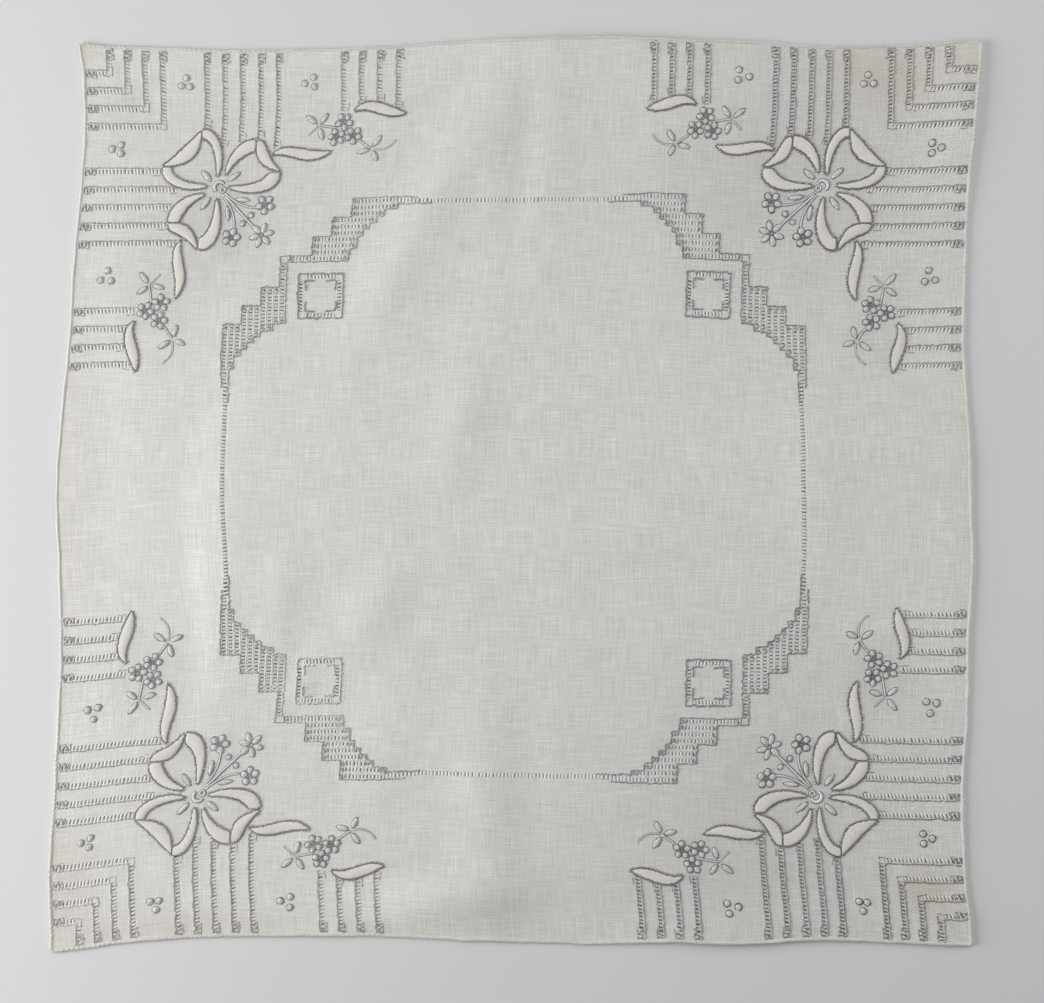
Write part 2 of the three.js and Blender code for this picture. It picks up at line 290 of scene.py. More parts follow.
finishes = {
    "linen": (0.828, 0.820, 0.787), "soil": (0.640, 0.575, 0.450), "cream": (0.865, 0.845, 0.780),
    "whiteThread": (0.765, 0.758, 0.730), "table": (0.785, 0.783, 0.787),
    "threads": {      # tint, unevenness, roughness, sheen, whether it is dyed and so takes the fading and painted light
        "grey thread": ((0.450, 0.447, 0.436), 0.35, 0.70, 0.20, True),
        "dark grey thread": ((0.258, 0.257, 0.250), 0.40, 0.70, 0.20, True),
        "soft grey thread": ((0.350, 0.348, 0.339), 0.40, 0.75, 0.20, True),
        "pale thread": ((0.740, 0.734, 0.705), 0.20, 0.75, 0.20, False),
        "linen bars": ((0.790, 0.783, 0.753), 0.08, 0.80, 0.15, False),
        "greyed linen bars": ((0.720, 0.713, 0.686), 0.14, 0.80, 0.15, False),
        "hem thread": ((0.828, 0.820, 0.787), 0.10, 0.80, 0.15, False)},
    "faded": (      # grey thread paler where the strength is above zero and darker where below, partly from washing out and partly as painted light, mostly paler on the lit left and darker on the right: x, y, reach in x, reach in y, strength
        (100, -100, 80, 80, -0.18), (100, 100, 45, 45, -0.20), (-100, -100, 70, 70, 0.12),
        (-66, -66, 20, 20, 0.85), (-138, -138, 24, 24, 0.40), (-100, 110, 60, 60, 0.10),
        (-117, 141, 11, 9, 0.40), (-74, 141, 11, 9, 0.45), (-141, 117, 9, 11, 0.30),
        (-141, 74, 9, 11, 0.25), (136, -136, 24, 24, -0.12), (117, -141, 11, 9, -0.35),
        (141, -117, 9, 11, -0.30), (74, -141, 11, 9, -0.30), (-95, 48, 20, 20, 0.25),
        (-48, 95, 20, 20, 0.25)),
}


# an empty material, with its node tree and its shader
def newMaterial(name):
    made = bpy.data.materials.new(name)
    made.use_nodes = True
    return made, made.node_tree, made.node_tree.nodes["Principled BSDF"]


# one node, its settings set, and each input either given a value or linked to another node's output
def addNode(tree, kind, settings=(), **inputs):
    made = tree.nodes.new("ShaderNode" + kind)
    for key, value in dict(settings).items():
        setattr(made, key, value)
    for key, value in inputs.items():
        socket = made.inputs[int(key[1:])] if key[0] == "i" and key[1:].isdigit() else made.inputs[key]
        if isinstance(value, bpy.types.NodeSocket):
            tree.links.new(value, socket)
        else:
            socket.default_value = value
    return made


# two values, or one, put through an operation
def maths(tree, operation, a, b=0.0):
    return addNode(tree, "Math", {"operation": operation}, i0=a, i1=b).outputs[0]


# one colour blended into another by a share
def mixColour(tree, factor, a, b):
    return addNode(tree, "Mix", {"data_type": "RGBA"}, i0=factor, i6=a, i7=b).outputs[2]


# noise of one scale over a place
def noise(tree, place, scale, detail, rough=0.5):
    return addNode(tree, "TexNoise", Vector=place, Scale=scale, Detail=detail, Roughness=rough).outputs[0]


# a value that was marked on the mesh
def marked(tree, name):
    return addNode(tree, "Attribute", {"attribute_name": name}).outputs["Fac"]


# a tint, or a place, times a value
def scaled(tree, tint, value):
    return addNode(tree, "VectorMath", {"operation": "SCALE"}, i0=tint, Scale=value).outputs[0]


weave = {
    "streaks": (2.6, 0.10, 3.0), "slubs": (1.7, 0.045, 1.0),      # scale across the yarn, along it, detail
    "slubOver": 0.60, "cloudScale": 0.06, "cloud": (0.08, 0.96),      # share of the noise, amount added
    "patchScale": 0.16, "patch": (0.9, 0.5), "mostStain": 0.85, "yarnRelief": 1.6,
    "bump": (0.55, 0.00012), "surface": (0.9, 0.15, 0.25),      # strength and depth; roughness, sheen, gloss
}


# a finish's colour and its relief linked to its shader, with its roughness, sheen and gloss
def dressShader(tree, shader, colour, height, bump, surface):
    raised = addNode(tree, "Bump", Strength=bump[0], Distance=bump[1], Height=height)
    tree.links.new(colour, shader.inputs["Base Color"])
    tree.links.new(raised.outputs[0], shader.inputs["Normal"])
    for key, value in zip(("Roughness", "Sheen Weight", "Specular IOR Level"), surface):
        shader.inputs[key].default_value = value


# woven linen: yarn streaks are noise stretched along each thread direction, thick slubs the same but longer
# and only where the noise is high, the weave a product of two sines; all read flat millimetres
def linenFinish(name, tint, scale, yarn, streak, slub, stained):
    made, tree, shader = newMaterial(name)
    mm = scaled(tree, addNode(tree, "TexCoord").outputs["UV"], scale)

    # noise stretched along one thread direction, and along the other
    def yarns(across, along, detail):
        ways = ((across, along, 1), (along, across, 1))
        spots = [addNode(tree, "Mapping", Vector=mm, Scale=way).outputs[0] for way in ways]
        return [noise(tree, spot, 1.0, detail, 0.6) for spot in spots]

    # a value times a share, with an amount added
    def shareOf(value, times, more):
        return maths(tree, "ADD", maths(tree, "MULTIPLY", value, times), more)

    both = maths(tree, "ADD", *yarns(*weave["streaks"]))
    over = [maths(tree, "SUBTRACT", way, weave["slubOver"]) for way in yarns(*weave["slubs"])]
    thick = [maths(tree, "MAXIMUM", way, 0.0) for way in over]
    cloud = noise(tree, mm, weave["cloudScale"], 3.0)
    value = shareOf(maths(tree, "SUBTRACT", both, 1.0), streak, 1.0)
    value = maths(tree, "ADD", value, maths(tree, "MULTIPLY", maths(tree, "ADD", *thick), slub))
    value = maths(tree, "MULTIPLY", value, shareOf(cloud, *weave["cloud"]))
    colour = scaled(tree, tint, value)
    if stained:
        # cloth darkened by the mark of wear and painted shade: greying from handling, painted shade round the
        # sewing and on folds, and painted highlight on folds where the mark is below zero
        colour = scaled(tree, colour, maths(tree, "SUBTRACT", 1.0, marked(tree, "wear_and_painted_shade")))
        patchy = noise(tree, mm, weave["patchScale"], 4.0, 0.6)
        share = maths(tree, "MULTIPLY", marked(tree, "stain"), shareOf(patchy, *weave["patch"]))
        most = maths(tree, "MINIMUM", share, weave["mostStain"])
        colour = mixColour(tree, most, colour, (*finishes["soil"], 1))
    split = addNode(tree, "SeparateXYZ", Vector=mm)
    over = maths(tree, "SINE", maths(tree, "MULTIPLY", split.outputs[0], np.pi / yarn))
    under = maths(tree, "SINE", maths(tree, "MULTIPLY", split.outputs[1], np.pi / yarn))
    crossing = maths(tree, "MULTIPLY", over, under)
    height = maths(tree, "ADD", crossing, maths(tree, "MULTIPLY", both, weave["yarnRelief"]))
    dressShader(tree, shader, colour, height, weave["bump"], weave["surface"])
    return made


threadGrain = {
    "fleckScale": 900.0, "broadScale": 110.0, "twistScale": 4200.0, "bump": (0.5, 0.00006), "gloss": 0.3,
}


# thread: a tint broken by fine noise and by broad noise along its run, with a fine twist in its bump; dyed
# thread is paler or darker by its mark of fading and painted light
def threadFinish(name):
    tint, spread, rough, sheen, dyed = finishes["threads"][name]
    made, tree, shader = newMaterial(name)
    place = addNode(tree, "TexCoord").outputs["Object"]
    grain = threadGrain
    fleck = noise(tree, place, grain["fleckScale"], 3.0, 0.6)
    broad = noise(tree, place, grain["broadScale"], 2.0)
    uneven = maths(tree, "MULTIPLY", maths(tree, "ADD", fleck, broad), 2 * spread)
    value = maths(tree, "ADD", uneven, 1.0 - 2 * spread)
    if dyed:
        # fading with painted light: paler towards the lit left, darker towards the right
        value = maths(tree, "MULTIPLY", value, maths(tree, "ADD", marked(tree, "faded"), 1.0))
    twist = noise(tree, place, grain["twistScale"], 1.0)
    surface = (rough, sheen, grain["gloss"])
    dressShader(tree, shader, scaled(tree, tint, value), twist, grain["bump"], surface)
    return made


satinGrain = {
    "ridge": 0.42, "paintedRidgeShade": 0.05, "fleckScale": 1500.0, "wander": 0.25, "base": 0.47,
    "bump": (0.6, 0.00008), "surface": (0.55, 0.2, 0.35),
}


# satin stitch: white thread with ridges across the shape, sines along the shape's own long way; each ridge's
# colour is painted lighter on its crest and darker in its hollow, as painted highlight and shade
def satinFinish(name, tint, grain):
    made, tree, shader = newMaterial(name)
    along = addNode(tree, "SeparateXYZ", Vector=addNode(tree, "TexCoord").outputs["UV"]).outputs[0]
    place = addNode(tree, "TexCoord").outputs["Object"]
    fleck = noise(tree, place, grain["fleckScale"], 2.0)
    wander = maths(tree, "ADD", along, maths(tree, "MULTIPLY", fleck, grain["wander"]))
    strand = maths(tree, "SINE", maths(tree, "MULTIPLY", wander, 2 * np.pi / grain["ridge"]))
    # painted highlight and shade on the satin ridges, following their bump
    raised = maths(tree, "MULTIPLY", strand, grain["paintedRidgeShade"])
    value = maths(tree, "ADD", raised, maths(tree, "ADD", fleck, grain["base"]))
    dressShader(tree, shader, scaled(tree, tint, value), strand, grain["bump"], grain["surface"])
    return made


# millimetres to one step of the flat coordinates, yarn width, streaks, slubs, whether it is stained
linenCloth = linenFinish("linen cloth", finishes["linen"], clothLie["cutSide"], 0.40, 0.50, 0.55, True)
creamCloth = linenFinish("cream linen", finishes["cream"], 1.0, 0.36, 0.22, 0.10, False)
greyThread, darkThread, softThread, paleThread, barThread, stairThread, hemThread = (
    threadFinish(name) for name in finishes["threads"])
satinThread = satinFinish("white satin thread", finishes["whiteThread"], satinGrain)
print("finishes made")

# drawn-thread work at a corner: how far each strip stands in from the side edge, and runs from the end edge
drawn = {
    "hemIn": 1.8, "clothMid": 0.65,
    "ladderOpen": (-0.05, 1.35), "frameOpen": (-0.70, 0.45),      # open part, inwards from a strip's place
    "lineAt": -0.5, "footAt": 1.15, "endAt": 1.9, "endMark": 3.4,
    "ladderPitch": 1.22, "framePitch": 1.21, "stairPitch": 1.18, "sidePitch": 1.20,
    "nested": (9.3, 15.3, 21.3, 27.3),
    "fence": ((42.3, 28.0), (48.5, 34.3), (54.6, 32.6), (61.0, 31.3), (67.2, 35.2)),
    "gate": ((90.5, 22.4), (96.7, 19.9), (102.9, 19.5), (109.1, 22.2)),
    "stairFirst": 54.1, "stairStep": 2.17, "stairHalf": 0.60,
    "stairNear": (95.9, 95.9, 95.9, 89.5, 89.5, 89.5, 83.1, 83.1, 83.1, 74.8),
    "stairFar": (111.5, 111.5, 107.0, 104.6, 102.4, 100.3, 98.6, 98.4, 96.1, 95.9),
    "sideRuns": ((54.6, 111.5, 116.2), (55.2, 116.2, 121.6), (55.6, 121.6, half)), "sideHalf": 0.68,
    "outerLine": (53.0, 108.0, 53.8, 118.0),      # grey lines that run on from the stairs
    "innerLine": (55.9, 111.5, 56.4, 123.0),
    "frameNear": 80.1, "frameFar": 93.0, "frameOut": 1.2, "frameMark": 3.4,
}
nested = [(c, drawn["hemIn"], c + drawn["lineAt"], 1) for c in drawn["nested"]]      # place, from, to, way in
rails = [(c, drawn["hemIn"], end, 1) for c, end in drawn["fence"] + drawn["gate"]]
frameRun = (drawn["frameNear"] + drawn["frameOut"], drawn["frameFar"] - drawn["frameOut"])
frames = [(drawn["frameNear"], *frameRun, 1), (drawn["frameFar"], *frameRun, -1)]
stairs = [
    (drawn["stairFirst"] + k * drawn["stairStep"], near, far, 1)
    for k, (near, far) in enumerate(zip(drawn["stairNear"], drawn["stairFar"]))]
sideLine = [(*run, 1) for run in drawn["sideRuns"]]


# the open part of each strip as two opposite corners
def openParts(strips, inside):
    near, far = inside
    return [(c + way * near, a, c + way * far, b) for c, a, b, way in strips]


slots = np.array(
    openParts(nested + rails, drawn["ladderOpen"])
    + openParts(frames, drawn["frameOpen"])
    + openParts(stairs, (-drawn["stairHalf"], drawn["stairHalf"]))
    + openParts(sideLine, (-drawn["sideHalf"], drawn["sideHalf"])))

linenGround = {
    "edgeIn": 0.8, "maxGap": 3.1, "thick": 0.28,
    "stains": (      # x, y, reach in x, reach in y, strength
        (126, 138, 15, 12, 0.40), (118, 146, 24, 7, 0.25), (139, -134, 8, 7, 0.50),
        (146, -142, 16, 14, 0.22), (-146, -132, 11, 24, 0.30), (-112, -148, 34, 6, 0.25),
        (-150, 150, 6, 5, 0.30), (151, 146, 9, 14, 0.25), (-40, -150, 60, 5, 0.12), (60, 150, 60, 4, 0.10),
        (150, 20, 4, 90, 0.12), (-151, 0, 3, 120, 0.10), (-148.5, 0, 4.5, 40, 0.14)),
    "wear_and_painted_shade": (      # greyed round the sewing partly by handling and partly as painted shade; rows on the folds give painted shade, and painted highlight where the strength is below zero; listed as the stains are
        (-106, 100, 42, 42, 0.075), (92, 108, 50, 46, 0.150), (86, -104, 50, 46, 0.130),
        (-104, -110, 28, 26, 0.015), (-15, 122, 30, 30, 0.030), (40, -138, 70, 16, 0.060),
        (-107, 90, 16, 16, 0.080), (-97, -12, 8, 55, -0.110), (-138, 5, 12, 45, -0.055),
        (-8, -146, 14, 7, 0.100), (-33, -140, 16, 8, -0.070), (-122, -62, 11, 11, 0.090),
        (-122, 62, 11, 11, 0.080), (124, -62, 11, 11, 0.090), (124, 55, 11, 16, 0.060),
        (-100, -98, 20, 20, 0.060), (-138, 131, 8, 9, 0.080), (-35, -80, 8, 22, -0.060)),
}


# the flat cut on a grid whose lines fall on every slot's sides, without the cells inside the slots
def makeGround(cfg):
    rects = allCorners(slots.reshape(-1, 2, 2)).reshape(-1, 4)
    edge = half - cfg["edgeIn"]
    marks = np.unique(np.round(np.concatenate([rects.ravel(), [-edge, edge]]), 1))
    marks = marks[np.abs(marks) <= edge]
    counts = np.ceil(np.diff(marks) / cfg["maxGap"]).astype(int)
    spans = [np.linspace(a, b, n + 1)[:-1] for a, b, n in zip(marks, marks[1:], counts)]
    lines = np.concatenate(spans + [marks[-1:]])
    mid = (lines[1:] + lines[:-1]) / 2
    solid = np.ones((len(mid), len(mid)), bool)
    for x0, y0, x1, y1 in rects:
        inX = (mid > min(x0, x1)) & (mid < max(x0, x1))
        inY = (mid > min(y0, y1)) & (mid < max(y0, y1))
        solid[np.ix_(inX, inY)] = False
    x, y = np.meshgrid(lines, lines, indexing="ij")
    points = np.stack([x.ravel(), y.ravel(), np.full(x.size, drawn["clothMid"])], -1)
    faces = gridFaces(len(lines), len(lines))[solid.ravel()]
    used, faces = np.unique(faces, return_inverse=True)
    points = points[used]
    faces = faces.reshape(-1, 4)
    piece = putPiece("linen_cloth", points, [faces], linenCloth, points[:, :2] / (2 * half) + 0.5)
    mark(piece, "stain", bells(points, cfg["stains"]))
    # the mark of wear and painted shade, painted highlight where it is below zero
    mark(piece, "wear_and_painted_shade", bells(points, cfg["wear_and_painted_shade"]))
    edges = np.zeros(len(faces) * 4, np.int32)
    piece.data.loops.foreach_get("edge_index", edges)
    alone = np.bincount(edges, minlength=len(piece.data.edges)) == 1      # slot and outer edges stay sharp
    piece.data.attributes.new("sharp_edge", "BOOLEAN", "EDGE").data.foreach_set("value", alone)
    body = piece.modifiers.new("cloth thickness", "SOLIDIFY")
    body.thickness, body.offset = cfg["thick"] * 0.001, 0.0
    print("linen ground,", len(lines), "lines,", len(faces), "cells")
    return piece


ground = makeGround(linenGround)
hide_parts("linen_ground")
onGround = []

rolledHem = {
    "inset": 0.64, "halfWide": 0.58, "halfHigh": 0.44, "mid": 0.63, "wander": 0.16,
    "steps": 960, "sides": 10, "uneven": 0.3, "fatCounts": (23, 57, 131, 190), "wanderCounts": (29, 61, 97),
    "soiled": 0.12, "whipStep": 1.7, "whipHalf": 0.08, "whipLean": 0.55, "whipStray": 0.15,
    "whipWide": 1.12, "whipHigh": 1.14, "whipSteps": 6,      # how far a whip stitch stands round the roll
}


# points round the cut at one inset: even steps along the four sides
def roundCut(share, inset):
    e = half - np.asarray(inset)
    side, f = np.floor(share * 4).astype(int) % 4, share * 4 % 1
    run = -e + 2 * e * f
    x = np.choose(side, [run, e + 0 * run, -run, -e + 0 * run])
    y = np.choose(side, [e + 0 * run, -run, -e + 0 * run, run])
    return np.stack([x, y], -1)


# a sum of sines of a few counts round the cut, each with its own start
def unevenRound(share, counts, starts):
    return sum(np.sin(2 * np.pi * share * k + p) for k, p in zip(counts, starts)) / len(counts)


# the hem is an uneven oval ring carried round the cut, closed on itself, its whip stitches slanting over it
def makeHem(cfg):
    share = np.arange(cfg["steps"]) / cfg["steps"]
    fat = 1 + cfg["uneven"] * unevenRound(share, cfg["fatCounts"], rng.uniform(0, 6, 4))
    starts = rng.uniform(0, 6, 3)

    # how far in the roll's middle stands, wandering as it goes round
    def centre(s):
        return cfg["inset"] + cfg["wander"] * (1 + unevenRound(s, cfg["wanderCounts"], starts))

    turn = turns(cfg["sides"])
    inset = centre(share)[:, None] - cfg["halfWide"] * fat[:, None] * np.cos(turn)
    flat = roundCut(share[:, None] + 0 * inset, inset)
    high = cfg["mid"] + cfg["halfHigh"] * fat[:, None] * np.sin(turn)
    points = np.concatenate([flat, high[..., None]], -1)
    uv = np.stack(np.broadcast_arrays(share[:, None] * 8 * half, turn * cfg["halfWide"]), -1) / (2 * half)
    faces = gridFaces(cfg["steps"], cfg["sides"], True, 1, True)[:, ::-1]
    roll = putPiece("rolled_hem", points, [faces], linenCloth, uv)
    mark(roll, "stain", bells(points.reshape(-1, 3), linenGround["stains"]) + cfg["soiled"])
    count = int(8 * half / cfg["whipStep"])
    at = (np.arange(count) + 0.5 + rng.uniform(-cfg["whipStray"], cfg["whipStray"], count)) / count
    f = np.linspace(0, 1, cfg["whipSteps"])
    slant = at[:, None] + cfg["whipLean"] * (f - 0.5) / (8 * half)
    reach = centre(slant) - cfg["whipWide"] * cfg["halfWide"] * np.cos(np.pi * f)
    over = np.broadcast_to(cfg["mid"] + cfg["whipHigh"] * cfg["halfHigh"] * np.sin(np.pi * f), slant.shape)
    path = np.concatenate([roundCut(slant % 1, reach), over[..., None]], -1)
    whip = putPiece("hem_whip_stitch", *threads(path, cfg["whipHalf"]), hemThread)
    print("rolled hem,", count, "whip stitches")
    return [roll, whip]


onGround += makeHem(rolledHem)

barShape = {      # near and far reach from the strip's place, pitch, lean, half widths, half thickness
    "ladder": (0.25, 1.60, drawn["ladderPitch"], 0.50, (0.42, 0.45, 0.51, 0.57), 0.12),
    "frame": (0.95, 0.65, drawn["framePitch"], 0.30, (0.46, 0.46, 0.46, 0.44), 0.12),
    "stair": (0.95, 0.95, drawn["stairPitch"], 0.0, (0.545, 0.535, 0.535, 0.545), 0.08),
    "upright": (0.95, 0.95, drawn["sidePitch"], 0.30, (0.55, 0.545, 0.545, 0.55), 0.10),
    "level": (0.95, 0.95, drawn["sidePitch"], 0.0, (0.590, 0.583, 0.583, 0.590), 0.04),
    "rise": 0.06, "stray": 0.05, "leftFuller": 0.08, "steps": 4, "sides": 6,
}


# bars across strips: even steps along each, every bar a flat thread from its near side to its far side
def barPaths(strips, near, far, pitch, lean):
    f = np.linspace(0, 1, barShape["steps"])
    paths = []
    for c, a, b, way in strips:
        count = max(1, int(round((b - a) / pitch)))
        at = a + (np.arange(count) + 0.5) * (b - a) / count
        s, t = np.broadcast_arrays(c + way * (f * (near + far) - near)[None], at[:, None] + lean * (f - 0.5))
        h = np.broadcast_to(drawn["clothMid"] + barShape["rise"] * np.sin(np.pi * f), s.shape)
        paths.append(np.stack([s, t, h], -1))
    return np.concatenate(paths)


# each kind of bar at every corner, shifted a little at random; upright ladders on the left get fuller bars
def makeBars(cfg):
    made = []
    for kind, strips, ways in (
            ("ladder", nested + rails, "both"), ("frame", frames, "both"), ("stair", stairs, "both"),
            ("upright", sideLine, "upright"), ("level", sideLine, "level")):
        *reach, wide, thick = cfg[kind]
        paths = barPaths(strips, *reach)
        bars = allCorners(acrossDiagonal(paths) if ways == "level" else paths, ways == "both")
        bars[:, :, :2] += rng.normal(0, cfg["stray"], (len(bars), 1, 2))
        across = np.abs(bars[:, -1] - bars[:, 0])
        fuller = (kind == "ladder") & (across[:, 0] > across[:, 1]) & (bars[:, 0, 0] < 0)
        wide = np.array(wide) + cfg["leftFuller"] * fuller[:, None]
        finish = stairThread if kind == "stair" else barThread
        made.append(putPiece(kind + "_bars", *threads(bars, wide, thick, cfg["sides"]), finish))
        print(kind, "bars,", len(bars))
    return made


onGround += makeBars(barShape)

hemstitch = {      # half thickness, stitch length, how far a stitch strays, thread
    # the second line's stitching is painted shade: a grey line where the upright ladders on the right lie in
    # shade
    "ladder_hemstitch": (0.30, 1.22, 0.09, greyThread), "painted_shade_line": (0.26, 1.22, 0.09, greyThread),
    "stair_hemstitch": (0.26, 1.18, 0.11, softThread), "frame_hemstitch": (0.38, 1.21, 0.12, softThread),
    "end_stitch": (0.17, 1.2, 0.16, softThread), "pale_stitch": (0.14, 1.30, 0.09, paleThread),
    "hatch_stitch": (0.16, 2.2, 0.12, greyThread),
    "hatchNear": 1.7, "hatchFar": 2.6, "hatchIn": 0.2, "hatchWide": 0.8,
    "base": 0.74, "rise": 0.12, "uneven": (0.6, 1.25), "zigzagStep": 0.85, "zigzagIn": 0.4,
    "railEnd": 0.8, "nestFoot": 1.2, "stairTail": 2.4,
}


# zigzag over the end of a ladder: slanting stitches from side to side, one step on each time
def zigzag(near, far, start, run):
    step = hemstitch["zigzagStep"]
    sides = [(near, far) if k % 2 else (far, near) for k in range(int(run / step))]
    return [(a, start + k * step, b, start + (k + 1) * step) for k, (a, b) in enumerate(sides)]


# straight lines of stitching in corner distances: grey along each ladder's outer side and round the frames,
# a grey line inside the upright ladders on the right as painted shade, soft grey round stairs and ends, pale
# between
def stitchLines():
    cfg, run = hemstitch, drawn["endMark"]
    made = {name: [] for name, row in cfg.items() if isinstance(row, tuple) and len(row) == 4}
    for c, a, b, way in nested + rails:
        line, end, foot = c + drawn["lineAt"], c + drawn["endAt"], c + drawn["footAt"]
        made["ladder_hemstitch"] += [(line, a, line, b)]
        # painted shade: a grey line where the far side of each upright ladder lies in shade
        made["painted_shade_line"] += [(foot, a + run, foot, b)]
        made["end_stitch"] += [(line, a, end, a), (end, a, end, a + run)]
        made["end_stitch"] += zigzag(line + cfg["zigzagIn"], end, a, run)
        if (c, a, b, way) in rails:
            made["end_stitch"] += [(end, b - cfg["railEnd"] * run, end, b)]
    for c, a, b, way in nested:
        foot = c + cfg["nestFoot"] * drawn["footAt"]
        made["end_stitch"] += [(foot, foot, foot, foot - run)]
    near, far, out, run = drawn["frameNear"], drawn["frameFar"], drawn["frameOut"], drawn["frameMark"]
    for outer in (near - out, far + out):
        made["frame_hemstitch"] += [(outer, near - out, outer, far + out)]
    for inner in (near + out, far - out):
        made["frame_hemstitch"] += [
            (inner, near + out, inner, near + out + run), (inner, far - out - run, inner, far - out)]
    step = drawn["stairStep"] / 2
    wide = cfg["hatchWide"] * step
    steps = made["stair_hemstitch"]
    for k, (c, a, b, way) in enumerate(stairs):
        last = k == len(stairs) - 1
        hatched = ((a + cfg["hatchIn"], cfg["hatchNear"]), (b - cfg["hatchFar"], cfg["hatchFar"]))
        for start, long in hatched if k else hatched[:1]:      # the first stair runs on into the side line
            made["hatch_stitch"] += zigzag(c - wide, c + wide, start, long)
        prevNear = stairs[k - 1][1] if k else drawn["outerLine"][1]
        if k:
            steps += [(c - step, b, c + step, b)]
        if not last:
            nextFar = stairs[k + 1][2]
            steps += [(c - step, a, c + step, a)]
            steps += [(c + step, nextFar, c + step, b)] if k else [drawn["outerLine"], drawn["innerLine"]]
            made["pale_stitch"] += [(c + step, a, c + step, nextFar)]
        else:
            steps += [(c + step, a, c + step, b)]
        if k == 0 or a < prevNear - step / 2:
            steps += [(c - step, a - (cfg["stairTail"] if last else 0), c - step, prevNear)]
    return made


# every line at every corner as a run of stitches, each shifted and thickened a little at random
def makeHemstitch(cfg):
    made = []
    for name, lines in stitchLines().items():
        thick, length, stray, finish = cfg[name]
        runs = np.array(lines).reshape(-1, 2, 2)
        lines = allCorners(runs, name != "painted_shade_line").reshape(-1, 4)
        if name == "painted_shade_line":
            lines = lines[len(runs):3 * len(runs)]      # the two corners on the right, where the painted shade line goes
        path = seam(lines, length, cfg["base"], cfg["rise"])
        path[:, :, :2] += rng.normal(0, stray, (len(path), 1, 2))
        uneven = rng.uniform(*cfg["uneven"], path.shape[:2])
        made.append(putPiece(name, *threads(path, thick * uneven), finish))
        print(name, len(path), "stitches")
    return made


onGround += makeHemstitch(hemstitch)

sewnPieces = {
    "rows": {      # the two edges of each piece: start, two pulls and end
        "crown_tip": (
            ((41.0, 28.8), (37.6, 31.6), (33.0, 37.6), (28.4, 40.9)),
            ((41.0, 31.5), (40.8, 37.5), (37.6, 40.4), (31.2, 41.0))),
        "crown_side": (
            ((41.5, 28.4), (46.6, 27.2), (50.8, 36.5), (48.3, 44.4)),
            ((41.5, 31.5), (44.9, 31.7), (47.0, 37.5), (47.5, 44.4))),
        "wing_inner": (
            ((60.3, 31.8), (54.9, 31.1), (50.4, 37.2), (50.5, 44.0)),
            ((60.3, 35.9), (57.0, 36.8), (53.0, 39.6), (51.3, 44.0))),
        "wing_tip": (
            ((60.9, 31.9), (65.0, 32.0), (63.9, 38.4), (69.9, 42.5)),
            ((60.9, 36.0), (61.0, 39.9), (64.5, 41.7), (68.8, 43.0))),
        "wing_outer": (
            ((70.0, 43.6), (70.6, 50.4), (61.0, 52.0), (52.2, 48.7)),
            ((66.0, 43.6), (63.5, 47.3), (58.0, 47.9), (52.4, 48.0))),
        "near_leaf": (
            ((66.6, 36.9), (71.5, 31.9), (78.5, 37.2), (86.9, 36.1)),
            ((66.8, 37.3), (73.5, 36.3), (79.5, 43.0), (87.1, 36.4))),
        "far_leaf": (
            ((94.6, 22.3), (98.6, 16.9), (104.8, 20.0), (111.9, 24.0)),
            ((94.8, 22.7), (100.5, 20.4), (104.6, 26.9), (112.1, 24.3))),
    },
    "base": 0.74, "puff": 0.50, "puffWide": 2.0, "puffPower": 0.75, "uneven": 0.06, "waves": 9,
    "steps": 33, "sides": 18, "pitch": 0.95, "gap": 0.10,
    "line": 0.34, "lineUneven": (0.6, 1.3), "lineUp": 0.05, "lineRise": 0.14, "lineStray": 0.10,
    "tick": 0.15, "tickOut": 0.65, "tickIn": 0.40, "tickUp": 0.10, "tickRise": 0.30, "tickStray": 0.12,
}


